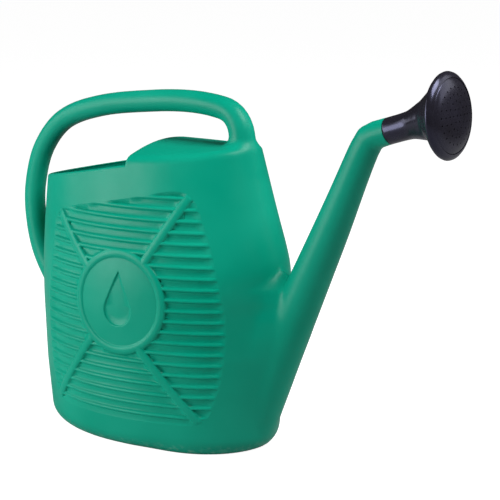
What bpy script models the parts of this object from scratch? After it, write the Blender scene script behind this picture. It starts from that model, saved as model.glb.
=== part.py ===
"""Large plastic watering can: a moulded tank with half hood, hollow handle and spout, and a push-on rose
with a snap-in perforated face. Metres, +Z up, +X towards the rose, base on z = 0."""

import math

import bmesh
import bpy

MM = 0.001

# Tank, in millimetres. Each row: height, rear x, front x, half width.
TANK_ROWS = (
    (0, -136, 137, 81),
    (2, -142, 143, 87),
    (7, -149, 150, 94),
    (14, -153.5, 154.5, 98.5),
    (23, -156.5, 156.5, 101),
    (80, -162, 161.5, 107),
    (161, -164.5, 168, 109),
    (195, -165.2, 171, 107.2),
    (218, -165.2, 171, 104.5),
    (241, -165, 166, 100.5),
    (264, -164.5, 160, 96),
    (287, -164, 153.5, 91),
    (322, -162.5, 144.5, 82.5),
    (358, -161, 135.5, 73),
)
TANK_LEVELS = (0, 2, 7, 14, 23, 65, 110, 155, 195, 225, 255, 285, 310)
WIDEST_X = -12.6
WALL = 2.5
FILLET_TOP = 23
TANK_SIDES = 64

# Rim of the filling opening: a plane that climbs towards the front.
RIM_Z = 330.3
RIM_SLOPE = 0.196

# Hood over the front half, measured above the rim plane.
HOOD_REAR_X = 13
HOOD_FRONT_X = 134
HOOD_CROWN = 24
HOOD_SIDE = 9.5
HOOD_SIDE_END_X = 90
HOOD_RINGS = (0.985, 0.94, 0.86, 0.74, 0.58, 0.38, 0.18)
MOUTH_DEPTH = 30
MOUTH_ABOVE = 6

# Handle: x, z, outer radius along its centreline.
HANDLE_PATH = (
    (119.5, 330, 18),
    (119, 352, 16),
    (117, 374, 14.8),
    (107.5, 389.5, 14),
    (91, 397.2, 13.4),
    (43.7, 401.4, 13),
    (-16.7, 397.6, 13),
    (-95.5, 386, 13),
    (-154, 365, 13),
    (-189.5, 328, 13),
    (-205.5, 284, 13),
    (-208, 245, 13),
    (-198.5, 199, 13.2),
    (-175, 160, 14),
    (-148, 128, 15),
)

# Spout: x, z, outer radius along its centreline.
SPOUT_PATH = (
    (128.5, 32, 33.2),
    (149.5, 76, 30.9),
    (171.8, 123.6, 28.4),
    (195.5, 174, 25.8),
    (219.3, 225.4, 23.2),
    (241.6, 275, 20.8),
    (260.4, 319, 18.3),
    (272.4, 347.5, 17.3),
    (282.5, 369.5, 17.8),
    (296.5, 383, 16.2),
    (309.4, 387.8, 14.7),
)
SPOUT_BORE_START = (131.5, 38.5)

# Push-on joint between spout and rose, on the neck axis.
TIP_X = 312.2
TIP_Z = 388.6
NECK_ANGLE = math.radians(18)
SPIGOT_RADIUS = 12
SPIGOT_BORE = 9.5
SPIGOT_LENGTH = 17
SPIGOT_BACK = 3
COLLAR_RADIUS = 14.7
COLLAR_BACK = 8

# Rose: the head faces lower than its neck points.
HEAD_ANGLE = math.radians(5)
HEAD_X = 381.6
HEAD_Z = 409.9
ROSE_SIDES = 40
NECK_SIDES = 24
# Distance along the neck from the spout shoulder, radius, share of the turn from neck to head.
FLARE_OUTER = (
    (0.3, 14.5, 0),
    (19, 14.7, 0),
    (29, 15.5, 0),
    (37, 17.9, 0),
    (44, 20.2, 0.1),
    (50, 22, 0.5),
    (55, 25.4, 1),
)
FLARE_INNER = (
    (56.7, 23.5, 1),
    (50.7, 19.6, 0.5),
    (44.8, 17.8, 0.1),
    (38, 15.5, 0),
    (29.5, 13.2, 0),
    (21, 12.3, 0),
    (0.3, 12.3, 0),
)
# Distance in front of the head's centre, radius.
HEAD_OUTER = (
    (-12.9, 30.8),
    (-9, 35.2),
    (-5.6, 39.4),
    (-2.6, 43.6),
    (-0.4, 45.8),
    (1.2, 46.4),
    (3.1, 45.8),
    (5.1, 44),
    (6.6, 42),
    (7.3, 40),
)
HEAD_INNER = (
    (4.5, 40),
    (4.5, 37.4),
    (2.5, 37.4),
    (0.8, 43.2),
    (-0.9, 42),
    (-3.6, 37.9),
    (-7.1, 33.6),
    (-11, 29.2),
)

# Face plate.
FACE_RADIUS = 39.7
FACE_APEX = 11
FACE_EDGE = 7.3
FACE_WALL = 2.5
FACE_RINGS = (0, 13, 21, 28, 34, 39.7)
SCREW_MERGE = 0.00001
HOLE_RADIUS = 0.9
HOLE_CIRCLES = ((0, 1), (7.5, 6), (15, 12), (22.5, 18), (30, 24))
HOLE_SIDES = 6
HOLE_LENGTH = 12

TUBE_RESOLUTION = 6
SPOUT_RESOLUTION = 9
CURVE_STEPS = 2
SHARP_ANGLE = math.radians(35)

GREEN = (0.0, 0.36, 0.17, 1)
BLACK = (0.018, 0.017, 0.022, 1)


def clear_scene():
    for obj in list(bpy.data.objects):
        bpy.data.objects.remove(obj, do_unlink=True)


def new_collection(name):
    collection = bpy.data.collections.new(name)
    bpy.context.scene.collection.children.link(collection)
    return collection


def material(name, color, roughness):
    made = bpy.data.materials.new(name)
    made.use_nodes = True
    shader = made.node_tree.nodes["Principled BSDF"]
    shader.inputs["Base Color"].default_value = color
    shader.inputs["Roughness"].default_value = roughness
    shader.inputs["Metallic"].default_value = 0
    return made


def add_object(name, mesh, collection):
    obj = bpy.data.objects.new(name, mesh)
    collection.objects.link(obj)
    if collection.hide_render:
        obj.hide_render = True
        obj.display_type = "WIRE"
    return obj


def loft(name, rings, collection, close_on_itself=False):
    """A solid through rings of equal length, in millimetres, with a flat cap at each end unless the rings
    close on themselves."""
    mesh = bmesh.new()
    made = [[mesh.verts.new([c * MM for c in point]) for point in ring] for ring in rings]
    pairs = list(zip(made, made[1:]))
    if close_on_itself:
        pairs.append((made[-1], made[0]))
    for low, high in pairs:
        for i, corner in enumerate(low):
            j = (i + 1) % len(low)
            mesh.faces.new((corner, low[j], high[j], high[i]))
    if not close_on_itself:
        mesh.faces.new(made[0][::-1])
        mesh.faces.new(made[-1])
    bmesh.ops.recalc_face_normals(mesh, faces=mesh.faces)
    data = bpy.data.meshes.new(name)
    mesh.to_mesh(data)
    mesh.free()
    return add_object(name, data, collection)


def shade(obj):
    """Round surfaces smooth, edges sharper than SHARP_ANGLE left crisp."""
    obj.data.shade_smooth()
    obj.data.set_sharp_from_angle(angle=SHARP_ANGLE)


def boolean(target, operation, other):
    modifier = target.modifiers.new(f"{operation} {other.name}", "BOOLEAN")
    modifier.operation = operation
    modifier.solver = "EXACT"
    modifier.object = other


def row_value(rows, height, column):
    """The column of a table of rows at a height, read off straight lines between the rows."""
    if height <= rows[0][0]:
        return rows[0][column]
    for low, high in zip(rows, rows[1:]):
        if height <= high[0]:
            share = (height - low[0]) / (high[0] - low[0])
            return low[column] + share * (high[column] - low[column])
    return rows[-1][column]


def rim_height(x):
    return RIM_Z + RIM_SLOPE * x


def tank_point(level, turn, inset):
    """A point of the tank's wall at a nominal level (RIM_Z is the rim) and an angle round the tank."""
    tilt = RIM_SLOPE * (level / RIM_Z) ** 2
    x = 0
    for _ in range(6):
        height = level + tilt * x
        rear = row_value(TANK_ROWS, height, 1) + inset
        front = row_value(TANK_ROWS, height, 2) - inset
        half = row_value(TANK_ROWS, height, 3) - inset
        reach = front - WIDEST_X if math.cos(turn) > 0 else WIDEST_X - rear
        x = WIDEST_X + reach * math.cos(turn)
    floor = inset * max(0, 1 - level / FILLET_TOP)
    return x, half * math.sin(turn), level + tilt * x + floor


def tank_ring(level, inset=0):
    return [tank_point(level, 2 * math.pi * i / TANK_SIDES, inset) for i in range(TANK_SIDES)]


def hood_rise(x, across):
    """Height of the hood above the rim plane at x, and at a share across its half width."""
    back = max(x, HOOD_REAR_X)
    crown = HOOD_CROWN * (HOOD_FRONT_X - back) / (HOOD_FRONT_X - HOOD_REAR_X)
    side = HOOD_SIDE * max(0, 1 - (back - HOOD_REAR_X) / (HOOD_SIDE_END_X - HOOD_REAR_X))
    return side + max(0, crown - side) * (1 - across**2)


def tank_rings(inset=0):
    rings = [tank_ring(level, inset) for level in TANK_LEVELS]
    rim = tank_ring(RIM_Z, inset)
    rings.append([(x, y, rim_height(x) - inset) for x, y, _ in rim])
    for scale in HOOD_RINGS:
        ring = []
        for x, y, _ in rim:
            inner_x = WIDEST_X + scale * (x - WIDEST_X)
            across = scale * abs(y) / max(point[1] for point in rim)
            ring.append((inner_x, scale * y, rim_height(inner_x) + hood_rise(inner_x, across) - inset))
        rings.append(ring)
    return rings


def rim_cutter(collection):
    """Everything above the rim plane, behind the hood's rear edge."""
    rear, above = -200, 60
    outline = (
        (rear, rim_height(rear)),
        (HOOD_REAR_X, rim_height(HOOD_REAR_X)),
        (HOOD_REAR_X, rim_height(HOOD_REAR_X) + above),
        (rear, rim_height(rear) + above),
    )
    half = 130
    rings = [[(x, y, z) for x, z in outline] for y in (-half, half)]
    return loft("rim_cutter", rings, collection)


def mouth_cutter(collection):
    """The filling opening: the inside outline of the rim behind the hood."""
    rim = [point for point in tank_ring(RIM_Z, WALL) if point[0] < HOOD_REAR_X - 1]
    half = max(point[1] for point in rim)
    outline = [(HOOD_REAR_X, half), *[(x, y) for x, y, _ in rim], (HOOD_REAR_X, -half)]
    rings = [
        [(x, y, rim_height(x) + lift) for x, y in outline] for lift in (-MOUTH_DEPTH, MOUTH_ABOVE)
    ]
    return loft("mouth_cutter", rings, collection)


def tube(name, path, resolution, collection):
    """A round bar along a smooth curve in the XZ plane; path holds x, z and radius."""
    curve = bpy.data.curves.new(name, "CURVE")
    curve.dimensions = "3D"
    curve.bevel_depth = MM
    curve.bevel_resolution = resolution
    curve.use_fill_caps = True
    curve.resolution_u = CURVE_STEPS
    spline = curve.splines.new("BEZIER")
    spline.bezier_points.add(len(path) - 1)
    for point, (x, z, radius) in zip(spline.bezier_points, path):
        point.co = (x * MM, 0, z * MM)
        point.radius = radius
        point.handle_left_type = "AUTO"
        point.handle_right_type = "AUTO"
    guide = bpy.data.objects.new(f"{name}_curve", curve)
    collection.objects.link(guide)
    bpy.context.view_layer.update()
    mesh = bpy.data.meshes.new_from_object(guide)
    bpy.data.objects.remove(guide, do_unlink=True)
    welded = bmesh.new()
    welded.from_mesh(mesh)
    bmesh.ops.remove_doubles(welded, verts=welded.verts, dist=1e-6)
    bmesh.ops.recalc_face_normals(welded, faces=welded.faces)
    welded.to_mesh(mesh)
    welded.free()
    return add_object(name, mesh, collection)


def neck_point(distance):
    return TIP_X + distance * math.cos(NECK_ANGLE), TIP_Z + distance * math.sin(NECK_ANGLE)


def circle(x, z, radius, angle, sides, turn_by=0):
    """A ring round an axis that lies in the XZ plane and climbs at an angle."""
    ring = []
    for i in range(sides):
        turn = 2 * math.pi * i / sides + turn_by
        lift = radius * math.sin(turn)
        ring.append((x - lift * math.sin(angle), radius * math.cos(turn), z + lift * math.cos(angle)))
    return ring


def bar_on_neck(name, start, end, radius, sides, collection):
    rings = [circle(*neck_point(d), radius, NECK_ANGLE, sides) for d in (start, end)]
    return loft(name, rings, collection)


def make_can(collection, cutters, finish):
    can = loft("can_body", tank_rings(), collection)
    boolean(can, "DIFFERENCE", rim_cutter(cutters))
    handle = tube("handle_outer", HANDLE_PATH, TUBE_RESOLUTION, cutters)
    spout = tube("spout_outer", SPOUT_PATH, SPOUT_RESOLUTION, cutters)
    collar = bar_on_neck("spout_collar", -COLLAR_BACK, 0, COLLAR_RADIUS, NECK_SIDES, cutters)
    spigot = bar_on_neck("spigot_outer", -SPIGOT_BACK, SPIGOT_LENGTH, SPIGOT_RADIUS, NECK_SIDES, cutters)
    for piece in (handle, spout, collar, spigot):
        boolean(can, "UNION", piece)
    handle_bore = [(x, z, radius - WALL) for x, z, radius in HANDLE_PATH]
    handle_bore[0] = (119.5, 322, 18 - WALL)
    handle_bore[-1] = (-142, 120, 15 - WALL)
    spout_bore = [(x, z, radius - WALL) for x, z, radius in SPOUT_PATH[:-1]]
    spout_bore[0] = (*SPOUT_BORE_START, spout_bore[0][2])
    spout_bore.append((*neck_point(-SPIGOT_BACK), SPOUT_PATH[-1][2] - WALL))
    for hollow in (
        loft("tank_inner", tank_rings(WALL), cutters),
        mouth_cutter(cutters),
        tube("handle_bore", handle_bore, TUBE_RESOLUTION, cutters),
        tube("spout_bore", spout_bore, SPOUT_RESOLUTION, cutters),
        bar_on_neck("spigot_bore", -2 * SPIGOT_BACK, SPIGOT_LENGTH + 2, SPIGOT_BORE, NECK_SIDES, cutters),
    ):
        boolean(can, "DIFFERENCE", hollow)
    can.data.materials.append(finish)
    shade(can)
    return can


def head_ring(ahead, radius, sides=ROSE_SIDES):
    x = HEAD_X + ahead * math.cos(HEAD_ANGLE)
    z = HEAD_Z + ahead * math.sin(HEAD_ANGLE)
    return circle(x, z, radius, HEAD_ANGLE, sides)


def flare_ring(distance, radius, share):
    angle = NECK_ANGLE + share * (HEAD_ANGLE - NECK_ANGLE)
    x, z = neck_point(distance)
    on_head_axis = HEAD_Z + (x - HEAD_X) * math.tan(HEAD_ANGLE)
    return circle(x, z + share * (on_head_axis - z), radius, angle, ROSE_SIDES)


def make_rose(collection, finish):
    rings = [flare_ring(*station) for station in FLARE_OUTER]
    rings += [head_ring(*station) for station in HEAD_OUTER]
    rings += [head_ring(*station) for station in HEAD_INNER]
    rings += [flare_ring(*station) for station in FLARE_INNER]
    rose = loft("rose_body", rings, collection, close_on_itself=True)
    rose.data.materials.append(finish)
    shade(rose)
    return rose


def face_depth(radius):
    return FACE_APEX - (FACE_APEX - FACE_EDGE) * (radius / FACE_RADIUS) ** 2


def hole_cutter(collection):
    """All the spray holes as one mesh of separate bars, parallel to the head's axis."""
    joined = bmesh.new()
    for circle_radius, count in HOLE_CIRCLES:
        for i in range(count):
            turn = 2 * math.pi * i / count
            across = circle_radius * math.cos(turn)
            lift = circle_radius * math.sin(turn)
            ends = []
            for ahead in (FACE_APEX - HOLE_LENGTH, FACE_APEX + HOLE_LENGTH):
                ring = circle(
                    HEAD_X + ahead * math.cos(HEAD_ANGLE) - lift * math.sin(HEAD_ANGLE),
                    HEAD_Z + ahead * math.sin(HEAD_ANGLE) + lift * math.cos(HEAD_ANGLE),
                    HOLE_RADIUS,
                    HEAD_ANGLE,
                    HOLE_SIDES,
                )
                ends.append([joined.verts.new((px * MM, (py + across) * MM, pz * MM)) for px, py, pz in ring])
            low, high = ends
            for j in range(HOLE_SIDES):
                k = (j + 1) % HOLE_SIDES
                joined.faces.new((low[j], low[k], high[k], high[j]))
            joined.faces.new(low[::-1])
            joined.faces.new(high)
    bmesh.ops.recalc_face_normals(joined, faces=joined.faces)
    data = bpy.data.meshes.new("spray_holes")
    joined.to_mesh(data)
    joined.free()
    return add_object("spray_holes", data, collection)


def make_face(collection, cutters, finish):
    """The domed plate, turned round its own Z axis and then laid along the head's axis."""
    front = [(radius, face_depth(radius)) for radius in FACE_RINGS]
    back = [(radius, depth - FACE_WALL) for radius, depth in front]
    data = bpy.data.meshes.new("rose_face")
    profile = [(radius * MM, 0, depth * MM) for radius, depth in front + back[::-1]]
    data.from_pydata(profile, [(i, i + 1) for i in range(len(profile) - 1)], [])
    face = add_object("rose_face", data, collection)
    face.location = (HEAD_X * MM, 0, HEAD_Z * MM)
    face.rotation_euler = (0, math.pi / 2 - HEAD_ANGLE, 0)
    turned = face.modifiers.new("turned", "SCREW")
    turned.steps = ROSE_SIDES
    turned.render_steps = ROSE_SIDES
    turned.use_merge_vertices = True
    turned.merge_threshold = SCREW_MERGE
    boolean(face, "DIFFERENCE", hole_cutter(cutters))
    face.data.materials.append(finish)
    return face


def add_joint_empty(name, x, z, collection):
    empty = bpy.data.objects.new(name, None)
    empty.location = (x * MM, 0, z * MM)
    empty.empty_display_size = 0.02
    collection.objects.link(empty)
    return empty


def hold(child, parent):
    bpy.context.view_layer.update()
    child.parent = parent
    child.matrix_parent_inverse = parent.matrix_world.inverted()


def main():
    clear_scene()
    can_collection = new_collection("watering_can")
    cutters = new_collection("cutters")
    cutters.hide_render = True
    green = material("can_green", GREEN, 0.35)
    black = material("rose_black", BLACK, 0.25)
    plate = material("face_black", BLACK, 0.3)
    make_can(can_collection, cutters, green)
    rose = make_rose(can_collection, black)
    face = make_face(can_collection, cutters, plate)
    rose_axis = add_joint_empty("rose_axis", TIP_X, TIP_Z, can_collection)
    face_axis = add_joint_empty("face_axis", HEAD_X, HEAD_Z, can_collection)
    hold(rose, rose_axis)
    hold(face, face_axis)
    hold(face_axis, rose_axis)


main()
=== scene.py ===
"""Looks of a large green plastic watering can: tank with half hood, hollow handle and spout as one
moulded shell, ribbed side panels, and a glossy dark rose. Lengths are in millimetres until a mesh is
made; the camera, the floor and the lights are in metres."""

import math

import bmesh
import bpy
import numpy as np
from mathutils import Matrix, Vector
from mathutils.geometry import delaunay_2d_cdt


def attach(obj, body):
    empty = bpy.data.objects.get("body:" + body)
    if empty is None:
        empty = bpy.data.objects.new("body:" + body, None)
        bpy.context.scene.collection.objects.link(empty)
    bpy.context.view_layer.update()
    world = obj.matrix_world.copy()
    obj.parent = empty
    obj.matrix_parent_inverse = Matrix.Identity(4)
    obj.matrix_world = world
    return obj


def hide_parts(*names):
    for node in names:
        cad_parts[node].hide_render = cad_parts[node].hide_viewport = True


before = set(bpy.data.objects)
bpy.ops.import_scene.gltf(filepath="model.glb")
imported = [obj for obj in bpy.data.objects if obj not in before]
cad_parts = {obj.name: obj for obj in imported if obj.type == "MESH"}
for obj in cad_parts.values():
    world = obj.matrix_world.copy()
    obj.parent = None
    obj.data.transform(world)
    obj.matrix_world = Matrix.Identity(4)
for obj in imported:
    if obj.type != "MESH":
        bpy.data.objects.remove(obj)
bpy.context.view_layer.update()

MM = 0.001

# Tank outline without its edge roundings: height, rear x, front x, half width.
TANK_ROWS = np.array(
    (
        (-20, -154, 154.5, 98),
        (0, -155.5, 155.5, 99.5),
        (23, -157.5, 157, 102),
        (80, -162, 161.5, 107),
        (161, -164.5, 168, 109),
        (195, -165.2, 173.5, 107.4),
        (218, -165.2, 172.8, 104.6),
        (241, -165, 167, 100.6),
        (264, -164.6, 160, 96),
        (287, -164, 153.5, 91),
        (322, -162.5, 144.5, 82.5),
        (358, -161, 135.5, 73),
        (390, -160, 128, 65),
    )
)
WIDEST_X = -12.6
WALL = 2.5
BASE_ROUNDING = 21

# Rim plane and hood.
RIM_Z = 330.3
RIM_SLOPE = 0.196
HOOD_REAR_X = 10.5
HOOD_FRONT_X = 134
HOOD_CROWN = 24
HOOD_SIDE = 9.5
HOOD_SIDE_END_X = 90
HOOD_ROUNDING = 6
# The mouth is cut from behind the tank's rear to the hood's rear edge, and up to this far over the rim.
MOUTH_REAR_X = -175
TOP_REACH = 27
# The rim's shoulder: how far below the rim plane it starts, and its radius.
SHOULDER_DROP = 2.3
SHOULDER = 3.6
RIM_THICKNESS = 0.62 * WALL
RIM_TURNS = (18, 36, 54, 72, 88)
# The hood's lip: its points as shares of the wall's thickness, and how far it bulges backwards.
LIP_SHARES = (0.12, 0.35, 0.65, 0.88)
LIP_BULGE = 0.9
# How far from the plane of a cut a point still counts as on it.
ON_CUT = 0.2

# Handle and spout centrelines: x, z, outer radius.
HANDLE_PATH = (
    (119.5, 330, 18),
    (119, 352, 16),
    (117, 374, 14.8),
    (107.5, 389.5, 14),
    (91, 397.2, 13.4),
    (43.7, 401.4, 13),
    (-16.7, 397.6, 13),
    (-95.5, 386, 13),
    (-154, 365, 13),
    (-189.5, 328, 13),
    (-205.5, 284, 13),
    (-208, 245, 13),
    (-198.5, 199, 13.2),
    (-175, 160, 14),
    (-148, 128, 15),
)
SPOUT_PATH = (
    (131.3, 38, 33),
    (149.5, 76, 30.4),
    (171.6, 123.6, 27.6),
    (195.2, 174, 25),
    (219, 225.4, 22.5),
    (241.6, 275, 20.3),
    (260.8, 319, 18.1),
    (273.2, 347.5, 17),
    (282.2, 367, 16.4),
    (288.5, 377.8, 16),
    (297.5, 383.5, 15.1),
    (308.4, 387.4, 14.7),
    (312.2, 388.6, 14.7),
    (329, 394, 14.7),
)
# The first rows, which the nose follows.
SPOUT_FOOT_ROWS = 6
# Fillet radius where the spout leaves the tank, against height, and where the handle does.
SPOUT_FILLET = ((0, 160, 180, 240), (2, 3, 4, 4))
HANDLE_FILLET = 10
# The tank's front is drawn out to a nose round the foot of the spout. In plan the nose is a circle
# inside the tank and one on the spout, with the corners between them filled by arcs. Against height:
# the inner circle's centre and radius, as shares of the tank's reach and half width, and the arcs'
# bend (1 / radius).
NOSE_ROOT = ((120, 170), (0.48, 0.61))
NOSE_ROUND = ((120, 170), (0.8, 0.62))
NOSE_BEND = ((120, 150, 175), (0.0003, 0.003, 0.004))
NOSE_FILLET = 8
# The circle on the spout is smaller than the spout there, which leaves a crease; and the nose ends
# under the crotch between tank and spout. Both against height.
NOSE_SHY = ((145, 165, 180, 198), (0, 2.8, 8, 13))
NOSE_END = ((186, 198, 209, 240), (0, 2, 12, 60))

# Push-on joint and rose.
TIP = np.array((312.2, 0, 388.6))
NECK_ANGLE = math.radians(18)
NECK_AXIS = np.array((math.cos(NECK_ANGLE), 0, math.sin(NECK_ANGLE)))
# The can's only edge beyond this x is the one at the spout's end.
SPOUT_END_X = 250
SPIGOT_RADIUS = 12
SPIGOT_BORE = 9.5
SPIGOT_LENGTH = 17
# Distance along the neck, radius: out along the spigot and back through its bore.
SPIGOT_PROFILE = (
    (0, SPIGOT_RADIUS + 0.5),
    (0.5, SPIGOT_RADIUS),
    (SPIGOT_LENGTH - 1.5, SPIGOT_RADIUS),
    (SPIGOT_LENGTH, SPIGOT_RADIUS - 0.8),
    (SPIGOT_LENGTH, SPIGOT_BORE + 0.4),
    (SPIGOT_LENGTH - 0.4, SPIGOT_BORE),
    (-WALL, SPIGOT_BORE),
)
HEAD = np.array((381.6, 0, 409.9))
HEAD_ANGLE = math.radians(5)
HEAD_AXIS = np.array((math.cos(HEAD_ANGLE), 0, math.sin(HEAD_ANGLE)))
HEAD_UP = np.array((-math.sin(HEAD_ANGLE), 0, math.cos(HEAD_ANGLE)))
# Distance along the neck from the spout's shoulder, radius, share of the turn from neck to head.
FLARE_OUTER = (
    (0.3, 14.0, 0),
    (0.8, 14.5, 0),
    (19, 14.7, 0),
    (29, 15.5, 0),
    (37, 17.9, 0),
    (44, 20.4, 0),
    (50, 22.6, 0.1),
    (55, 26.1, 0.6),
)
FLARE_INNER = (
    (56.7, 23.9, 0.8),
    (50.7, 20.1, 0.2),
    (44.8, 17.9, 0),
    (38, 15.5, 0),
    (29.5, 13.2, 0),
    (21, 12.3, 0),
    (1, 12.3, 0),
    (0.3, 12.8, 0),
)
# Distance in front of the head's centre, radius.
HEAD_OUTER = (
    (-12.9, 30.8),
    (-9, 35.2),
    (-5.6, 39.4),
    (-2.6, 43.6),
    (-0.4, 45.8),
    (1.2, 46.4),
    (3.1, 45.8),
    (5.1, 44),
    (6.6, 42),
    (7.3, 40),
)
SEAT = ((7.0, 39.9), (4.5, 39.9), (4.5, 37.4), (2.5, 37.4))
HEAD_INNER = (
    (2.4, 39),
    (0.8, 43.2),
    (-0.9, 42),
    (-3.6, 37.9),
    (-7.1, 33.6),
    (-11, 29.2),
)
ROSE_SIDES = 112

# Face plate: a dome with spray holes on circles (radius, number).
FACE_RADIUS = 39.7
FACE_APEX = 12
FACE_EDGE = 6.5
FACE_SHOULDER = 3.6
HOLE_RADIUS = 0.9
HOLE_CIRCLES = ((0, 1), (7.5, 6), (15, 12), (22.5, 18), (30, 24))
HOLE_SIDES = 12
# Circles that the plate's mesh follows between the holes and out to its rounded edge.
PLATE_CIRCLES = (3.7, 11.2, 18.7, 26.2, 28, 32, 33.7, 35.4, 37, 38.2, 39.1)

# Side panel, in side view (x, z): a recess with an outline, clapboard ribs, a ring and four bars.
PANEL_OUTLINE = (
    (-86, 274),
    (-18, 289.5),
    (36, 300.5),
    (74, 308.5),
    (90, 306.5),
    (101, 296),
    (112, 272),
    (122, 248),
    (133, 211),
    (138.5, 175),
    (139.3, 143),
    (135.6, 105),
    (128, 72),
    (119, 48),
    (108, 41),
    (80, 39.5),
    (-40, 39.5),
    (-78, 40.5),
    (-91, 46),
    (-98, 63),
    (-104, 92),
    (-107, 122),
    (-106, 155),
    (-102.5, 185),
    (-99, 222),
    (-97.4, 258),
    (-95, 268),
)
# Width of the recess's edge, and the guide lines along it as shares of that width outside the outline.
PANEL_EDGE = 2.6
EDGE_LINES = (0, 0.25, 0.5, 0.75, 1)
RIB_PITCH = 12.65
RIB_START = 45.5
# One rib from the ground above it down: share of the pitch, height over the plain wall.
RIB_PROFILE = (
    (0, -2.8),
    (0.06, -3),
    (0.5, -2.9),
    (0.57, -2.4),
    (0.63, -1.2),
    (0.68, -0.5),
    (0.77, -0.05),
    (0.85, -0.05),
    (0.89, -0.5),
    (0.945, -1.7),
    (1, -2.8),
)
RING_CENTRE = (17.5, 178.7)
RING_RADIUS = 56.8
RING_HALF = 5
BAR_HALF = 5.4
BEAD_FOOT = -1.5
BEAD_HEIGHT = 2.4
BEAD_LINES = (0, 0.35, 0.65, 0.88, 1)
DISC_HEIGHT = -1.1
BARS = (
    ((-24, 212), (-85, 267.5)),
    ((48, 224), (93, 303)),
    ((-22, 130), (-90, 46)),
    ((45, 128), (110.5, 44)),
)
DROP_CENTRE = (17.5, 169)
DROP_RADIUS = 19
DROP_POINT = 47
DROP_DEPTH = 1.8
DROP_EDGE = 1.5
# Guide lines round the drop, as shares of its edge's width inside its outline.
DROP_LINES = (-0.7, 0, 0.35, 0.65, 1)
DROP_TURNS = 40
# Spacing of the points on the panel's guide lines, and the circles inside the ring.
LINE_STEP = 5.6
DISC_CIRCLES = np.arange(6, RING_RADIUS - 5, 2 * LINE_STEP)

# Colours, linear.
GREEN_DEEP = (0.0, 0.285, 0.182, 1)
GREEN_LIGHT = (0.004, 0.315, 0.206, 1)
GREEN_RUBBED = (0.2, 0.5, 0.38, 1)
DARK_DEEP = (0.011, 0.010, 0.014, 1)
DARK_LIGHT = (0.018, 0.017, 0.026, 1)

CAMERA_AZIMUTH = 36.09
CAMERA_ELEVATION = 12.28
CAMERA_TARGET = Vector((0.12949, 0, 0.23587))
CAMERA_DISTANCE = 1.8032
CAMERA_LENS = 112.9
FLOOR_HALF = 25
FLOOR_COLOR = (0.42, 0.42, 0.42, 1)
FLOOR_GLOW = 0.97
WORLD_LIGHT = 0.03
WORLD_SEEN = 1.0
LIGHT_DISTANCE = 1.9
LIGHT_SIZE = 1.0
# Name, azimuth, elevation, watts.
LIGHTS = (
    ("key", -33, 10, 26),
    ("left", -60, 18, 10),
    ("side", 95, 55, 45),
    ("back", 130, 30, 6),
)

# Mesh: base cell, the box that it fills, how far the tubes matter from y = 0, and the side panels'
# joint with the plain wall.
CELL = 3.6
GRID_LOW = np.array((-230, -34 * CELL, -6))
GRID_HIGH = np.array((345, 34 * CELL, 428))
TUBE_REACH = 46
PANEL_MARGIN = 10
PANEL_FROM_Y = 40
PANEL_RECESS = 2.8
LINE_MERGE = 0.05
SHARP_ANGLE = math.radians(50)
FAR = 1e9


# ---------------------------------------------------------------- shape of the can as a distance field


def cubic(start, end, start_slope, end_slope, t):
    """Points of the cubic curve from start to end."""
    return (
        (2 * t**3 - 3 * t**2 + 1) * start
        + (t**3 - 2 * t**2 + t) * start_slope
        + (3 * t**2 - 2 * t**3) * end
        + (t**3 - t**2) * end_slope
    )


def smooth_curve(path, step, columns=(0, 1)):
    """Rows every few millimetres on a smooth curve through the path's rows. Its length is measured in
    the given columns."""
    path = np.array(path, float)
    columns = list(columns)
    before = 2 * path[0] - path[1]
    after = 2 * path[-1] - path[-2]
    knots = np.vstack((before, path, after))
    found = []
    for a, b, c, d in zip(knots, knots[1:], knots[2:], knots[3:]):
        span = np.linalg.norm((c - b)[columns])
        tangent_b = (c - a) * span / np.linalg.norm((c - a)[columns])
        tangent_c = (d - b) * span / np.linalg.norm((d - b)[columns])
        t = np.linspace(0, 1, max(2, int(span / step) + 1))[:-1, None]
        found.append(cubic(b, c, tangent_b, tangent_c, t))
    return np.vstack((*found, path[-1:]))


HANDLE_CURVE = smooth_curve(HANDLE_PATH, 6.0)
SPOUT_CURVE = smooth_curve(SPOUT_PATH, 7.0)


def fine_rows(rows, step=2.0):
    """The tank's rows resampled on a smooth curve, so that the wall has no kinks."""
    heights = np.arange(rows[0, 0], rows[-1, 0], step)
    flat = np.stack([np.interp(heights, rows[:, 0], rows[:, i]) for i in (1, 2, 3)], 1)
    kernel = np.hanning(17)
    kernel /= kernel.sum()
    half = len(kernel) // 2
    padded = np.pad(flat, ((half, half), (0, 0)), mode="reflect", reflect_type="odd")
    smooth = np.stack([np.convolve(padded[:, i], kernel, mode="valid") for i in range(3)], 1)
    return heights, smooth, np.gradient(smooth, step, axis=0)


ROW_Z, ROW_VALUE, ROW_SLOPE = fine_rows(TANK_ROWS)


def rim_height(x):
    return RIM_Z + RIM_SLOPE * x


def above_cut(point):
    """Height over the plane where the wall ends and the rim's shoulder starts."""
    return point[2] - rim_height(point[0]) + SHOULDER_DROP


def hood_rise(x, across):
    """Height of the hood's surface above the rim plane."""
    back = np.maximum(x, HOOD_REAR_X)
    crown = np.maximum(0, HOOD_CROWN * (HOOD_FRONT_X - back) / (HOOD_FRONT_X - HOOD_REAR_X))
    fade = np.clip(1 - (back - HOOD_REAR_X) / (HOOD_SIDE_END_X - HOOD_REAR_X), 0, 1)
    side = HOOD_SIDE * fade
    return side + np.maximum(0, crown - side) * (1 - np.clip(across, 0, 1) ** 2)


def rounded_both(a, b, radius):
    """Intersection of two distance fields with its edge rounded."""
    both = np.hypot(np.maximum(a + radius, 0), np.maximum(b + radius, 0))
    return np.minimum(np.maximum(a, b), -radius) + both


def filleted_either(a, b, radius):
    """Union of two distance fields with its corner filled."""
    either = np.hypot(np.maximum(radius - a, 0), np.maximum(radius - b, 0))
    return np.maximum(np.minimum(a, b), radius) - either


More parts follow.
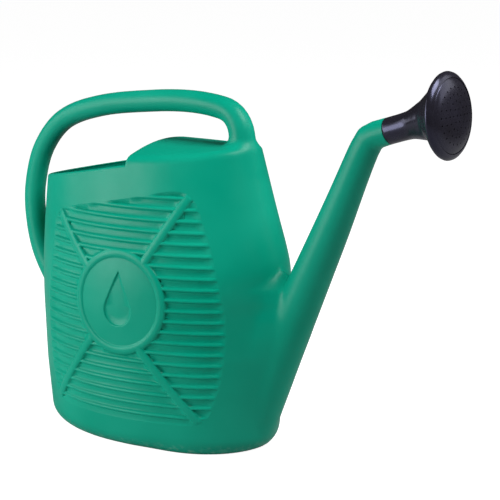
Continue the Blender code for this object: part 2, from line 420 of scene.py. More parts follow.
def spout_at(z):
    """The spout's centre and radius at a height. Below its foot it is carried on in a straight line."""
    rows = np.array(SPOUT_PATH[:SPOUT_FOOT_ROWS], float)
    rows = np.vstack((2 * rows[0] - rows[1], rows))
    return np.interp(z, rows[:, 1], rows[:, 0]), np.interp(z, rows[:, 1], rows[:, 2])


def nose_field(x, y, z, front, half):
    """Level distance to the nose: a circle in the tank, one on the spout, and the arcs between."""
    root = WIDEST_X + np.interp(z, *NOSE_ROOT) * (front - WIDEST_X)
    root_radius = np.interp(z, *NOSE_ROUND) * half
    tip, tip_radius = spout_at(z)
    tip_radius = tip_radius - np.interp(z, *NOSE_SHY)
    arc = 1 / np.interp(z, *NOSE_BEND)
    span = tip - root
    along = ((root_radius + arc) ** 2 - (tip_radius + arc) ** 2 + span**2) / (2 * span)
    aside = np.sqrt(np.maximum((root_radius + arc) ** 2 - along**2, 0))
    ahead = x - root
    across = np.abs(y)
    circles = np.minimum(
        np.hypot(ahead, across) - root_radius,
        np.hypot(ahead - span, across) - tip_radius,
    )
    between = (along * across < aside * ahead) & ((along - span) * across > aside * (ahead - span))
    filled = np.where(between, arc - np.hypot(ahead - along, across - aside), circles)
    return filled + np.interp(z, *NOSE_END)


def tank_field(x, y, z):
    """Distance to the tank with its nose, base rounding and hood, near enough for meshing."""
    rear, front, half = (np.interp(z, ROW_Z, ROW_VALUE[:, i]) for i in range(3))
    rear_slope, front_slope, half_slope = (np.interp(z, ROW_Z, ROW_SLOPE[:, i]) for i in range(3))
    ahead = x > WIDEST_X
    reach = np.where(ahead, front - WIDEST_X, WIDEST_X - rear)
    reach_slope = np.where(ahead, front_slope, -rear_slope)
    u = (x - WIDEST_X) / reach
    v = y / half
    rho = np.maximum(np.sqrt(u * u + v * v), 0.05)
    upward = u * u * reach_slope / reach + v * v * half_slope / half
    slope = np.sqrt((u / reach) ** 2 + (v / half) ** 2 + upward**2)
    wall = (rho - 1) * rho / np.maximum(slope, 1e-6)
    edge = np.sqrt(np.clip(1 - u * u, 0.02, 1))
    top = z - rim_height(x) - hood_rise(x, np.abs(v) / edge)
    side = filleted_either(wall, nose_field(x, y, z, front, half), NOSE_FILLET)
    body = rounded_both(side, -z, BASE_ROUNDING)
    return rounded_both(body, top * 0.97, HOOD_ROUNDING)


def tube_field(x, y, z, curve):
    """Distance to a round bar whose centreline lies in the plane y = 0."""
    shape = np.broadcast_shapes(np.shape(x), np.shape(z))
    px, pz = (np.broadcast_to(c, shape).ravel() for c in (x, z))
    nearest = np.full(px.shape, FAR)
    radius = np.zeros(px.shape)
    for (ax, az, ar), (bx, bz, br) in zip(curve, curve[1:]):
        dx, dz = bx - ax, bz - az
        t = np.clip(((px - ax) * dx + (pz - az) * dz) / (dx * dx + dz * dz), 0, 1)
        gap = (px - ax - t * dx) ** 2 + (pz - az - t * dz) ** 2
        closer = gap < nearest
        nearest = np.where(closer, gap, nearest)
        radius = np.where(closer, ar + t * (br - ar), radius)
    return np.sqrt(nearest.reshape(shape) + y * y) - radius.reshape(shape)


def with_tubes(tank, x, y, z):
    """The tank's field joined with the spout's and the handle's."""
    spout = tube_field(x, y, z, SPOUT_CURVE)
    with_spout = filleted_either(tank, spout, np.interp(z, *SPOUT_FILLET))
    return filleted_either(with_spout, tube_field(x, y, z, HANDLE_CURVE), HANDLE_FILLET)


def field_at(points):
    """The can's distance field; points far to the sides are out of the tubes' reach."""
    x, y, z = points.T
    values = tank_field(x, y, z)
    near = np.abs(y) < TUBE_REACH
    values[near] = with_tubes(values[near], x[near], y[near], z[near])
    return values


def gradient_at(points, step=0.4):
    shifts = np.eye(3) * step
    return np.stack([field_at(points + s) - field_at(points - s) for s in shifts], 1) / (2 * step)


def normals_at(points):
    gradient = gradient_at(points)
    return gradient / np.maximum(np.linalg.norm(gradient, axis=1, keepdims=True), 1e-9)


def onto_surface(points, rounds=3):
    for _ in range(rounds):
        gradient = gradient_at(points)
        share = field_at(points) / np.maximum((gradient**2).sum(1), 0.05)
        points = points - np.clip(share, -CELL, CELL)[:, None] * gradient
    return points


# ---------------------------------------------------------------- from field to mesh


def sampled_field(low, high, cell):
    axes = [np.arange(a, b + cell, cell) for a, b in zip(low, high)]
    x, y, z = np.meshgrid(*axes, indexing="ij", sparse=True)
    return with_tubes(tank_field(x, y, z), x, y, z)


def crossing_sums(values):
    """For each cell, the sum of the places where its edges cross the surface, and how many do."""
    shape = tuple(n - 1 for n in values.shape)
    total = np.zeros((*shape, 3))
    count = np.zeros(shape)
    corner = [slice(None, -1), slice(1, None)]
    for axis in range(3):
        along = [slice(None)] * 3
        ahead = [slice(None)] * 3
        along[axis] = slice(None, -1)
        ahead[axis] = slice(1, None)
        a, b = values[tuple(along)], values[tuple(ahead)]
        crossed = (a < 0) != (b < 0)
        share = np.where(crossed, a / np.where(crossed, a - b, 1), 0)
        others = [i for i in range(3) if i != axis]
        for first, second in ((0, 0), (0, 1), (1, 0), (1, 1)):
            pick = [slice(None)] * 3
            pick[others[0]] = corner[first]
            pick[others[1]] = corner[second]
            hit = crossed[tuple(pick)]
            count += hit
            total[..., axis] += np.where(hit, share[tuple(pick)], 0)
            total[..., others[0]] += hit * first
            total[..., others[1]] += hit * second
    return total, count


def quads_across(inside, index, axis):
    """A quad round each edge along one axis that leaves or enters the shape, facing outwards."""
    u, v = (axis + 1) % 3, (axis + 2) % 3
    along = [slice(1, -1)] * 3
    along[axis] = slice(None, -1)
    ahead = list(along)
    ahead[axis] = slice(1, None)
    a, b = inside[tuple(along)], inside[tuple(ahead)]
    edges = np.argwhere(a != b)
    outward = a[tuple(edges.T)]
    base = edges + 1
    base[:, axis] -= 1
    ring = []
    for du, dv in ((-1, -1), (0, -1), (0, 0), (-1, 0)):
        spot = base.copy()
        spot[:, u] += du
        spot[:, v] += dv
        ring.append(index[tuple(spot.T)])
    ring = np.stack(ring, 1)
    ring[~outward] = ring[~outward][:, ::-1]
    return ring


def surface_nets(values, low, cell):
    """Quads of the zero surface: one point in each cell that the surface crosses."""
    total, count = crossing_sums(values)
    used = count > 0
    index = np.full(count.shape, -1)
    index[used] = np.arange(used.sum())
    cells = np.argwhere(used)
    points = low + cell * (cells + total[used] / count[used][:, None])
    return points, np.vstack([quads_across(values < 0, index, axis) for axis in range(3)])


def relaxed(points, quads, rounds=4):
    """Evens out the mesh along the surface and puts it back on the surface."""
    edges = np.vstack([quads[:, [i, (i + 1) % 4]] for i in range(4)])
    valence = np.bincount(edges.ravel(), minlength=len(points))[:, None]
    for _ in range(rounds):
        total = np.zeros_like(points)
        for axis in range(3):
            total[:, axis] = np.bincount(edges[:, 0], points[edges[:, 1], axis], len(points))
            total[:, axis] += np.bincount(edges[:, 1], points[edges[:, 0], axis], len(points))
        points = onto_surface(points + 0.5 * (total / valence - points), 1)
    return onto_surface(points, 2)


def bmesh_from(points, faces):
    made = bmesh.new()
    verts = [made.verts.new(p) for p in points]
    for face in faces:
        made.faces.new([verts[i] for i in face])
    made.verts.ensure_lookup_table()
    made.verts.index_update()
    return made


def arrays_from(mesh):
    mesh.verts.index_update()
    points = np.array([v.co for v in mesh.verts])
    faces = [[v.index for v in f.verts] for f in mesh.faces]
    return points, faces


def cut(mesh, wanted, point, normal):
    """Splits the faces whose middle is wanted along a plane."""
    faces = [f for f in mesh.faces if wanted(f.calc_center_median())]
    edges = {e for f in faces for e in f.edges}
    verts = {v for f in faces for v in f.verts}
    geom = [*verts, *edges, *faces]
    bmesh.ops.bisect_plane(mesh, geom=geom, dist=0.02, plane_co=point, plane_no=normal)


def remove(mesh, wanted):
    gone = [f for f in mesh.faces if wanted(f.calc_center_median())]
    bmesh.ops.delete(mesh, geom=gone, context="FACES")


def open_up(mesh):
    """Cuts the filling opening behind the hood and the end of the spout."""
    rim_normal = Vector((-RIM_SLOPE, 0, 1)).normalized()
    rim_point = Vector((0, 0, RIM_Z - SHOULDER_DROP))

    def near_rim(c):
        return MOUTH_REAR_X < c.x < HOOD_REAR_X + 4 and -10 < above_cut(c) < TOP_REACH

    def near_hood_edge(c):
        return abs(c.x - HOOD_REAR_X) < 8 and -1 < above_cut(c) < TOP_REACH

    cut(mesh, near_rim, rim_point, rim_normal)
    cut(mesh, near_hood_edge, Vector((HOOD_REAR_X, 0, 0)), Vector((1, 0, 0)))
    remove(mesh, lambda c: MOUTH_REAR_X < c.x < HOOD_REAR_X and 0 < above_cut(c) < TOP_REACH)
    neck, tip = Vector(NECK_AXIS), Vector(TIP)
    cut(mesh, lambda c: (c - tip).length < 30, tip, neck)
    remove(mesh, lambda c: (c - tip).dot(neck) > 0 and c.x > SPOUT_END_X)
    loose = [v for v in mesh.verts if not v.link_faces]
    bmesh.ops.delete(mesh, geom=loose, context="VERTS")


# ---------------------------------------------------------------- relief of the side panels


def smooth_step(low, high, value):
    t = np.clip((value - low) / (high - low), 0, 1)
    return t * t * (3 - 2 * t)


def to_segment(x, z, start, end):
    """Distance from each point to a straight line between two."""
    (ax, az), (bx, bz) = start, end
    dx, dz = bx - ax, bz - az
    t = np.clip(((x - ax) * dx + (z - az) * dz) / (dx * dx + dz * dz), 0, 1)
    return np.hypot(x - ax - t * dx, z - az - t * dz)


def closed_curve(points, step):
    """Evenly spaced points on a smooth closed curve through the given ones."""
    ring = np.array(points, float)
    found = []
    for i in range(len(ring)):
        a, b, c, d = (ring[(i + k) % len(ring)] for k in (-1, 0, 1, 2))
        span = np.linalg.norm(c - b)
        tangent_b = (c - a) / np.linalg.norm(c - a) * span
        tangent_c = (d - b) / np.linalg.norm(d - b) * span
        t = np.linspace(0, 1, 12, endpoint=False)[:, None]
        found.append(cubic(b, c, tangent_b, tangent_c, t))
    dense = np.vstack((*found, found[0][:1]))
    length = np.concatenate(((0,), np.cumsum(np.linalg.norm(np.diff(dense, axis=0), axis=1))))
    count = int(length[-1] / step)
    places = np.linspace(0, length[-1], count, endpoint=False)
    return np.stack([np.interp(places, length, dense[:, i]) for i in range(2)], 1)


PANEL_LOOP = closed_curve(PANEL_OUTLINE, LINE_STEP)


def panel_depth(x, z):
    """Distance inside the panel's outline, negative outside it."""
    nearest = np.full(x.shape, FAR)
    inside = np.zeros(x.shape, bool)
    for (ax, az), (bx, bz) in zip(PANEL_LOOP, np.roll(PANEL_LOOP, -1, axis=0)):
        nearest = np.minimum(nearest, to_segment(x, z, (ax, az), (bx, bz)))
        if az != bz:
            inside ^= ((az > z) != (bz > z)) & (x < ax + (z - az) * (bx - ax) / (bz - az))
    return np.where(inside, nearest, -nearest)


def rib_height(z):
    """Level ribs: narrow rounded ridges, flush with the wall, over a sunk ground."""
    phase = np.mod((RIB_START - z) / RIB_PITCH, 1)
    return np.interp(phase, *zip(*RIB_PROFILE))


def bead(distance, half_width):
    """Height of a rounded bead against the distance from its middle, and far down beside it."""
    share = np.clip(1 - (distance / half_width) ** 2, 0, 1)
    height = BEAD_FOOT + BEAD_HEIGHT * np.sqrt(share)
    return np.where(np.abs(distance) < half_width + 0.01, height, -9)


def drop_depth(x, z):
    """Distance inside a plain water drop: a circle with a point above it."""
    up = z - DROP_CENTRE[1]
    aside = np.abs(x - DROP_CENTRE[0])
    reach = math.asin(DROP_RADIUS / DROP_POINT)
    cos, sin = math.cos(reach), math.sin(reach)
    side = (DROP_POINT - up) * sin - aside * cos
    in_cone = up * cos > aside * sin
    in_cone &= (DROP_POINT - up) * cos + aside * sin < DROP_POINT * cos
    return np.where(in_cone, side, DROP_RADIUS - np.hypot(aside, up))


def relief(x, z):
    """Height of the side's surface over the plain wall."""
    shape = rib_height(z)
    for start, end in BARS:
        shape = np.maximum(shape, bead(to_segment(x, z, start, end), BAR_HALF))
    from_centre = np.hypot(x - RING_CENTRE[0], z - RING_CENTRE[1])
    disc = DISC_HEIGHT - DROP_DEPTH * smooth_step(0, DROP_EDGE, drop_depth(x, z))
    shape = np.where(from_centre < RING_RADIUS, disc, shape)
    shape = np.maximum(shape, bead(from_centre - RING_RADIUS, RING_HALF))
    return shape * smooth_step(0, PANEL_EDGE, panel_depth(x, z))


def offset_loop(loop, distance):
    """The loop moved to its right by a distance; it is closed by repeating its first point."""
    along = np.roll(loop, -1, axis=0) - np.roll(loop, 1, axis=0)
    along /= np.linalg.norm(along, axis=1, keepdims=True)
    moved = loop + distance * np.stack((along[:, 1], -along[:, 0]), 1)
    return np.vstack((moved, moved[:1]))


def outline_ends(z):
    """Where a level line meets the panel's outline."""
    ends = []
    for (ax, az), (bx, bz) in zip(PANEL_LOOP, np.roll(PANEL_LOOP, -1, axis=0)):
        if (az > z) != (bz > z):
            ends.append(ax + (z - az) * (bx - ax) / (bz - az))
    return sorted(ends)


def level_lines(z):
    """The level line across the panel, left out inside the ring."""
    ends = outline_ends(z)
    if len(ends) != 2 or ends[1] - ends[0] < 2 * LINE_STEP:
        return
    runs = [ends]
    half = math.sqrt(max(0, RING_RADIUS**2 - (z - RING_CENTRE[1]) ** 2))
    if half:
        runs = [(ends[0], RING_CENTRE[0] - half), (RING_CENTRE[0] + half, ends[1])]
    for start, end in runs:
        xs = np.linspace(start, end, max(2, round((end - start) / LINE_STEP)))
        yield np.stack((xs, np.full(xs.shape, z)), 1)


def rib_lines():
    """Each rib's profile lines."""
    lines = []
    low, high = PANEL_LOOP[:, 1].min(), PANEL_LOOP[:, 1].max()
    first, last = ((RIB_START - z) / RIB_PITCH for z in (high, low))
    for number in range(math.floor(first), math.ceil(last)):
        for share, _ in RIB_PROFILE[:-1]:
            lines += level_lines(RIB_START - (number + share) * RIB_PITCH)
    return lines


def circle_points(centre, radius, sides):
    """A circle, closed by repeating its first point."""
    turns = np.linspace(0, 2 * math.pi, sides + 1)
    return np.stack((centre[0] + radius * np.cos(turns), centre[1] + radius * np.sin(turns)), 1)


def circle_line(centre, radius):
    return circle_points(centre, radius, max(12, round(2 * math.pi * radius / LINE_STEP)))


def bead_offsets(half_width):
    for share in BEAD_LINES:
        for side in (-1, 1) if share else (1,):
            yield side * share * half_width


def bar_lines():
    lines = []
    for bar in BARS:
        start, end = np.array(bar, float)
        length = np.linalg.norm(end - start)
        along = (end - start) / length
        aside = np.array((-along[1], along[0]))
        places = np.linspace(0, length, round(length / LINE_STEP))[:, None]
        for offset in bead_offsets(BAR_HALF):
            tip = math.sqrt(BAR_HALF**2 - offset**2)
            reach = np.append(places[:, 0], length + tip)[:, None]
            lines.append(start + offset * aside + reach * along)
    return lines


def drop_line(inset):
    """The outline of the water drop, moved inwards."""
    reach = math.asin(DROP_RADIUS / DROP_POINT)
    radius = DROP_RADIUS - inset
    point = DROP_POINT * radius / DROP_RADIUS
    x, z = DROP_CENTRE
    turns = np.linspace(math.pi - reach, 2 * math.pi + reach, DROP_TURNS)
    arc = [(x + radius * math.cos(t), z + radius * math.sin(t)) for t in turns]
    tip = (x, z + point)
    return np.array([tip, *arc, tip])


def panel_lines():
    """Every line of the side panel that its mesh has to follow."""
    lines = [offset_loop(PANEL_LOOP, -share * PANEL_EDGE) for share in EDGE_LINES]
    lines += [circle_line(RING_CENTRE, RING_RADIUS + offset) for offset in bead_offsets(RING_HALF)]
    lines += rib_lines()
    lines += bar_lines()
    lines += [drop_line(share * DROP_EDGE) for share in DROP_LINES]
    lines += [circle_line(RING_CENTRE, radius) for radius in DISC_CIRCLES]
    return lines


def triangulated(boundary, lines):
    """Triangles inside a closed boundary, with the lines as edges. Gives the points, the triangles, and
    for each point its place on the boundary or -1."""
    points = [Vector(p) for p in boundary]
    edges = [(i, (i + 1) % len(points)) for i in range(len(points))]
    for line in lines:
        first = len(points)
        points.extend(Vector(p) for p in line)
        edges.extend((i, i + 1) for i in range(first, len(points) - 1))
    made, _, faces, origin, _, _ = delaunay_2d_cdt(points, edges, [], 1, LINE_MERGE)
    place = [min((i for i in sources if i < len(boundary)), default=-1) for sources in origin]
    return np.array([tuple(p) for p in made]), faces, place


def on_side(flat, side):
    """Points of the plain wall at x, z: y is solved with x and z kept."""
    points = np.stack((flat[:, 0], np.full(len(flat), side * 90.0), flat[:, 1]), 1)
    for _ in range(8):
        outward = np.maximum(side * gradient_at(points)[:, 1], 0.3)
        points[:, 1] -= np.clip(field_at(points) / (side * outward), -15, 15)
    return points


def chained(edges):
    """The closed loop that directed edges make."""
    following = dict(edges)
    start = next(iter(following))
    loop = [start]
    while following[loop[-1]] != start:
        loop.append(following[loop[-1]])
    return loop


def with_panel(points, faces, side):
    """Replaces the wall's faces on one side by the panel's own mesh."""
    depth = panel_depth(points[:, 0], points[:, 2])
    covered = (depth > -PANEL_MARGIN) & (side * points[:, 1] > PANEL_FROM_Y)
    kept = [face for face in faces if not all(covered[i] for i in face)]
    removed = [face for face in faces if all(covered[i] for i in face)]
    loop = chained(boundary_edges(removed))
    flat = points[loop][:, [0, 2]]
    made, triangles, place = triangulated(flat, panel_lines())
    wall = on_side(made, side)
    height = relief(made[:, 0], made[:, 1])
    raised = wall + height[:, None] * normals_at(wall)
    index = {}
    added = []
    for i, spot in enumerate(place):
        if spot >= 0:
            index[i] = loop[spot]
        else:
            index[i] = len(points) + len(added)
            added.append(raised[i])
    for triangle in triangles:
        corners = [index[i] for i in triangle]
        kept.append(corners if side < 0 else corners[::-1])
    return np.vstack((points, added)), kept


# ---------------------------------------------------------------- shell: skins, rims and spigot


def boundary_edges(faces):
    """Edges of only one face, in the direction that the face runs them."""
    run = {(a, b) for face in faces for a, b in zip(face, face[1:] + face[:1])}
    return [(a, b) for a, b in run if (b, a) not in run]


def mouth_chain(outer, inner):
    """From the outer to the inner edge of the opening: a shoulder that curls inwards along the rim, and
    a rounded lip along the hood's rear edge."""
    across = inner - outer
    if abs(above_cut(outer)) > ON_CUT:
        bulge = np.array((-LIP_BULGE, 0, 0))
        return [outer + share * across + math.sin(math.pi * share) * bulge for share in LIP_SHARES]
    up = np.array((-RIM_SLOPE, 0, 1)) / math.hypot(RIM_SLOPE, 1)
    into = across - up * (across @ up)
    into /= np.linalg.norm(into)
    steps = [(SHOULDER * (1 - math.cos(t)), SHOULDER * math.sin(t)) for t in np.radians(RIM_TURNS)]
    steps.append((SHOULDER + 0.5, SHOULDER - 0.35))
    steps.append((SHOULDER + 0.6, SHOULDER - RIM_THICKNESS + 0.4))
    steps.append((SHOULDER, SHOULDER - RIM_THICKNESS))
    return [outer + inwards * into + height * up for inwards, height in steps]


def faces_between(first, second):
    """Faces from one chain to the next. Where a rim chain meets a lip chain, their lengths differ."""
    if len(first) == len(second):
        return [[b0, a0, a1, b1] for a0, a1, b0, b1 in zip(first, first[1:], second, second[1:])]
    made = []
    i, j = 0, 0
    while i < len(first) - 1 or j < len(second) - 1:
        if (i + 1) * (len(second) - 1) <= (j + 1) * (len(first) - 1):
            made.append([second[j], first[i], first[i + 1]])
            i += 1
        else:
            made.append([second[j], first[i], second[j + 1]])
            j += 1
    return made


def spigot_chain(outer):
    """From the spout's shoulder out along the spigot and back through its bore."""
    around = outer - TIP
    around = around - NECK_AXIS * (around @ NECK_AXIS)
    around /= np.linalg.norm(around)
    return [TIP + distance * NECK_AXIS + radius * around for distance, radius in SPIGOT_PROFILE]


def inner_skin(points, edge_points):
    """The wall's inner side. Along the openings it stays in the plane of the cut."""
    recess = PANEL_RECESS * smooth_step(-6, 4, panel_depth(points[:, 0], points[:, 2]))
    recess *= np.abs(points[:, 1]) > TUBE_REACH
    inner = points - (WALL + recess)[:, None] * normals_at(points)
    for i in edge_points:
        if points[i, 0] > SPOUT_END_X:
            inner[i] -= NECK_AXIS * ((inner[i] - TIP) @ NECK_AXIS + WALL)
        elif abs(above_cut(points[i])) < ON_CUT:
            inner[i, 2] -= above_cut(inner[i])
        else:
            inner[i, 0] = HOOD_REAR_X
    return inner


def open_skin():
    """Points and faces of the can's outer side with its mouth and its spout's end cut open."""
    points, quads = surface_nets(sampled_field(GRID_LOW, GRID_HIGH, CELL), GRID_LOW, CELL)
    base = bmesh_from(relaxed(points, quads), quads.tolist())
    open_up(base)
    points, faces = arrays_from(base)
    base.free()
    return points, faces


def can_mesh():
    """The closed shell: outer and inner skin, joined by chains of points at the openings."""
    points, faces = open_skin()
    edges = boundary_edges(faces)
    inner = inner_skin(points, {a for a, _ in edges})
    outer, outer_faces = points, faces
    for side in (-1, 1):
        outer, outer_faces = with_panel(outer, outer_faces, side)
    first_inner = len(outer)
    all_points = [*outer, *inner]
    all_faces = [*outer_faces, *([i + first_inner for i in reversed(face)] for face in faces)]
    chains = {}
    for a, _ in edges:
        at_spout = points[a, 0] > SPOUT_END_X
        steps = spigot_chain(points[a]) if at_spout else mouth_chain(points[a], inner[a])
        chains[a] = [a, *range(len(all_points), len(all_points) + len(steps)), a + first_inner]
        all_points.extend(steps)
    for a, b in edges:
        all_faces.extend(faces_between(chains[a], chains[b]))
    return mesh_from("can_shell", np.array(all_points), all_faces)


# ---------------------------------------------------------------- rose


def ring_at(x, z, radius, angle):
    """Points of a circle round an axis in the plane y = 0 that climbs at the angle."""
    turns = np.linspace(0, 2 * math.pi, ROSE_SIDES, endpoint=False)
    lift = radius * np.sin(turns)
    ring = (x - lift * math.sin(angle), radius * np.cos(turns), z + lift * math.cos(angle))
    return np.stack(ring, 1)


def head_row(ahead, radius):
    """Centre x, centre z, radius and angle of a ring of the rose's head."""
    x, _, z = HEAD + ahead * HEAD_AXIS
    return x, z, radius, HEAD_ANGLE


def flare_row(distance, radius, share):
    """The same for a ring between neck and head, whose centre moves from one axis to the other."""
    x, _, z = TIP + distance * NECK_AXIS
    on_head_axis = HEAD[2] + (x - HEAD[0]) * math.tan(HEAD_ANGLE)
    angle = NECK_ANGLE + share * (HEAD_ANGLE - NECK_ANGLE)
    return x, z + share * (on_head_axis - z), radius, angle


def bell_mesh():
    outer = [flare_row(*row) for row in FLARE_OUTER] + [head_row(*row) for row in HEAD_OUTER]
    inner = [head_row(*row) for row in HEAD_INNER] + [flare_row(*row) for row in FLARE_INNER]
    rows = [
        *smooth_curve(outer, 1.6, (0, 1, 2)),
        *(head_row(*row) for row in SEAT),
        *smooth_curve(inner, 2.4, (0, 1, 2)),
    ]
    points = np.vstack([ring_at(*row) for row in rows])
    faces = []
    for i in range(len(rows)):
        low, high = i * ROSE_SIDES, (i + 1) % len(rows) * ROSE_SIDES
        for j in range(ROSE_SIDES):
            k = (j + 1) % ROSE_SIDES
            faces.append([low + j, low + k, high + k, high + j])
    return mesh_from("rose_bell", points, faces)


def face_depth(radius):
    """A nearly flat dome whose edge is rounded back towards the rim."""
    share = np.clip(radius / FACE_RADIUS, 0, 1)
    return FACE_EDGE + (FACE_APEX - FACE_EDGE) * (1 - share**FACE_SHOULDER) ** 0.8


def hole_centres():
    for circle, count in HOLE_CIRCLES:
        for i in range(count):
            turn = 2 * math.pi * i / count
            yield circle * math.cos(turn), circle * math.sin(turn)


def plate_mesh():
    """The domed face: front and back skins round the spray holes, joined at the holes and the edge."""
    turns = np.linspace(0, 2 * math.pi, ROSE_SIDES, endpoint=False)
    edge = FACE_RADIUS * np.stack((np.cos(turns), np.sin(turns)), 1)
    lines = [circle_line((0, 0), radius) for radius in PLATE_CIRCLES]
    lines += [circle_points(centre, HOLE_RADIUS, HOLE_SIDES) for centre in hole_centres()]
    flat, triangles, _ = triangulated(edge, lines)
    middles = flat[np.array(triangles)].mean(axis=1)
    open_here = np.zeros(len(middles), bool)
    for centre in hole_centres():
        open_here |= np.hypot(*(middles - centre).T) < HOLE_RADIUS
    front = [list(face) for face, is_open in zip(triangles, open_here) if not is_open]
    depth = face_depth(np.hypot(*flat.T))[:, None]
    plane = HEAD + flat[:, :1] * np.array((0, 1, 0)) + flat[:, 1:] * HEAD_UP
    points = np.vstack((plane + depth * HEAD_AXIS, plane + (depth - WALL) * HEAD_AXIS))
    back = len(flat)
    faces = front + [[i + back for i in reversed(face)] for face in front]
    faces += [[b, a, a + back, b + back] for a, b in boundary_edges(front)]
    return mesh_from("rose_plate", points, faces)


def mesh_from(name, points, faces):
    """Mesh data in metres without loose points, smooth but for its sharp edges."""
    data = bpy.data.meshes.new(name)
    data.from_pydata((points * MM).tolist(), [], faces)
    tidied = bmesh.new()
    tidied.from_mesh(data)
    bmesh.ops.delete(tidied, geom=[v for v in tidied.verts if not v.link_faces], context="VERTS")
    tidied.to_mesh(data)
    tidied.free()
    data.shade_smooth()
    data.set_sharp_from_angle(angle=SHARP_ANGLE)
    return data


def linked(name, data):
    obj = bpy.data.objects.new(name, data)
    bpy.context.scene.collection.objects.link(obj)
    return obj


def add_piece(name, data, body, slot, *nodes):
    obj = linked(name, data)
    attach(obj, body)
    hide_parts(*nodes)
    return obj


# ---------------------------------------------------------------- materials


def new_material(name):
    made = bpy.data.materials.new(name)
    made.use_nodes = True
    return made, made.node_tree, made.node_tree.nodes["Principled BSDF"]


def feed(tree, socket, value):
    """Links a socket's value or sets a constant."""
    if isinstance(value, bpy.types.NodeSocket):
        tree.links.new(value, socket)
    else:
        socket.default_value = value


def add_node(tree, kind, **inputs):
    """A node with some of its inputs set or linked; the names have _ for a space."""
    node = tree.nodes.new(kind)
    for name, value in inputs.items():
        feed(tree, node.inputs[name.replace("_", " ")], value)
    return node


def noise(tree, place, scale, detail=2.0):
    node = add_node(tree, "ShaderNodeTexNoise", Vector=place, Scale=scale, Detail=detail)
    return node.outputs["Fac"]


def ranged(tree, value, low, high, to_low, to_high):
    """The value's range from low to high moved to another range, and held at its ends."""
    limits = {"From_Min": low, "From_Max": high, "To_Min": to_low, "To_Max": to_high}
    return add_node(tree, "ShaderNodeMapRange", Value=value, **limits).outputs["Result"]


def mixed(tree, share, first, second):
    """A colour between two others, each a colour or a socket."""
    node = tree.nodes.new("ShaderNodeMix")
    node.data_type = "RGBA"
    for place, value in ((0, share), (6, first), (7, second)):
        feed(tree, node.inputs[place], value)
    return node.outputs[2]


def product(tree, first, second):
    node = tree.nodes.new("ShaderNodeMath")
    node.operation = "MULTIPLY"
    for socket, value in zip(node.inputs, (first, second)):
        feed(tree, socket, value)
    return node.outputs[0]


def bumps(tree, layers):
    """Height fields on top of one another: (height, strength, distance in metres)."""
    normal = None
    for height, strength, distance in layers:
        node = add_node(tree, "ShaderNodeBump", Height=height, Strength=strength, Distance=distance)
        if normal is not None:
            tree.links.new(normal, node.inputs["Normal"])
        normal = node.outputs["Normal"]
    return normal


def green_polyethylene():
    """Satin blow-moulded plastic: slight colour drift, mould grain, and rub marks where it stands."""
    made, tree, shader = new_material("green_polyethylene")
    place = tree.nodes.new("ShaderNodeTexCoord").outputs["Object"]
    height = add_node(tree, "ShaderNodeSeparateXYZ", Vector=place).outputs["Z"]
    drift = ranged(tree, noise(tree, place, 9.0), 0.35, 0.65, 0.0, 1.0)
    color = mixed(tree, drift, GREEN_DEEP, GREEN_LIGHT)
    foot = ranged(tree, height, 0.003, 0.016, 1.0, 0.0)
    rubs = ranged(tree, noise(tree, place, 160.0, 6.0), 0.5, 0.72, 0.0, 1.0)
    color = mixed(tree, product(tree, product(tree, foot, rubs), 0.6), color, GREEN_RUBBED)
    tree.links.new(color, shader.inputs["Base Color"])
    grain = noise(tree, place, 1500.0, 3.0)
    rough = ranged(tree, noise(tree, place, 45.0, 4.0), 0.3, 0.7, 0.3, 0.38)
    tree.links.new(rough, shader.inputs["Roughness"])
    waves = noise(tree, place, 38.0, 1.0)
    normal = bumps(tree, ((waves, 0.25, 0.0012), (grain, 0.12, 0.00012)))
    tree.links.new(normal, shader.inputs["Normal"])
    shader.inputs["IOR"].default_value = 1.51
    shader.inputs["Specular IOR Level"].default_value = 0.12
    return made


def dark_gloss(name, seed_shift):
    """Injection-moulded plastic, near black with a violet tint, with faint polish marks."""
    made, tree, shader = new_material(name)
    place = tree.nodes.new("ShaderNodeTexCoord").outputs["Object"]
    moved = add_node(tree, "ShaderNodeMapping", Vector=place, Location=(seed_shift, 0, 0)).outputs[0]
    drift = ranged(tree, noise(tree, moved, 26.0, 3.0), 0.35, 0.7, 0.0, 1.0)
    tree.links.new(mixed(tree, drift, DARK_DEEP, DARK_LIGHT), shader.inputs["Base Color"])
    rough = ranged(tree, noise(tree, moved, 140.0, 5.0), 0.35, 0.75, 0.2, 0.27)
    tree.links.new(rough, shader.inputs["Roughness"])
    waves = noise(tree, moved, 60.0, 1.0)
    grain = noise(tree, moved, 2200.0, 2.0)
    normal = bumps(tree, ((waves, 0.15, 0.0008), (grain, 0.08, 0.00006)))
    tree.links.new(normal, shader.inputs["Normal"])
    shader.inputs["Specular Tint"].default_value = (0.6, 0.62, 1.0, 1)
    shader.inputs["Specular IOR Level"].default_value = 0.4
    shader.inputs["IOR"].default_value = 1.54
    return made


# ---------------------------------------------------------------- stage, light and camera


def aimed(name, data, azimuth, elevation, distance):
    """A camera or light that looks at the target; azimuth 0 puts it towards -Y, 90 towards +X."""
    turn, climb = math.radians(azimuth), math.radians(elevation)
    flat = math.cos(climb)
    back = Vector((math.sin(turn) * flat, -math.cos(turn) * flat, math.sin(climb)))
    obj = linked(name, data)
    obj.location = CAMERA_TARGET + distance * back
    obj.rotation_euler = (-back).to_track_quat("-Z", "Y").to_euler()
    return obj


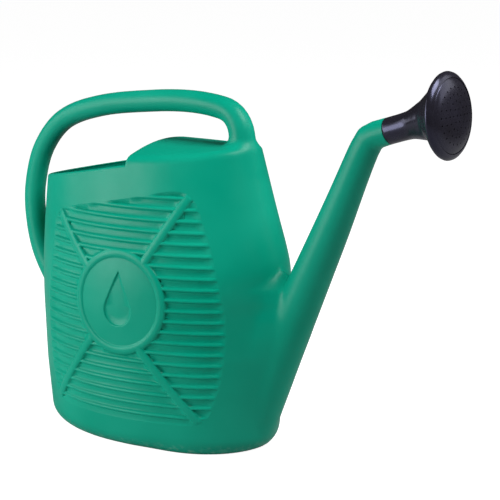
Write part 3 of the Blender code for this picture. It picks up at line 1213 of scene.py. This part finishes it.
def make_camera():
    data = bpy.data.cameras.new("camera")
    data.sensor_width = 36
    data.lens = CAMERA_LENS
    camera = aimed("camera", data, CAMERA_AZIMUTH, CAMERA_ELEVATION, CAMERA_DISTANCE)
    bpy.context.scene.camera = camera


def make_light(name, azimuth, elevation, watts):
    data = bpy.data.lights.new(name, "AREA")
    data.shape = "RECTANGLE"
    data.size = data.size_y = LIGHT_SIZE
    data.energy = watts
    aimed(name, data, azimuth, elevation, LIGHT_DISTANCE)


def make_floor():
    data = bpy.data.meshes.new("floor")
    signs = ((-1, -1), (1, -1), (1, 1), (-1, 1))
    corners = [(x * FLOOR_HALF, y * FLOOR_HALF, 0) for x, y in signs]
    data.from_pydata(corners, [], [(0, 1, 2, 3)])
    floor = linked("floor", data)
    paint, tree, shader = new_material("pale_floor")
    shader.inputs["Base Color"].default_value = FLOOR_COLOR
    shader.inputs["Roughness"].default_value = 0.85
    shader.inputs["Emission Color"].default_value = (1, 1, 1, 1)
    tree.links.new(backdrop_strength(tree, 0, FLOOR_GLOW), shader.inputs["Emission Strength"])
    data.materials.append(paint)


def backdrop_strength(tree, for_light, for_camera):
    """One number for the light that a backdrop gives, and another for how bright it looks."""
    is_seen = tree.nodes.new("ShaderNodeLightPath").outputs["Is Camera Ray"]
    return ranged(tree, is_seen, 0, 1, for_light, for_camera)


def make_world():
    world = bpy.data.worlds.new("studio")
    world.use_nodes = True
    tree = world.node_tree
    background = tree.nodes["Background"]
    background.inputs["Color"].default_value = (1, 1, 1, 1)
    strength = backdrop_strength(tree, WORLD_LIGHT, WORLD_SEEN)
    tree.links.new(strength, background.inputs["Strength"])
    bpy.context.scene.world = world


def main():
    bpy.context.scene.view_settings.view_transform = "Standard"
    make_camera()
    make_floor()
    make_world()
    for light in LIGHTS:
        make_light(*light)
    can = add_piece("can_shell", can_mesh(), "can", "can_green", "can_body")
    can.data.materials.append(green_polyethylene())
    bell = add_piece("rose_bell", bell_mesh(), "rose", "rose_black", "rose_body")
    bell.data.materials.append(dark_gloss("rose_dark_gloss", 0.0))
    plate = add_piece("rose_plate", plate_mesh(), "face_plate", "face_black", "rose_face")
    plate.data.materials.append(dark_gloss("face_dark_gloss", 0.37))


main()
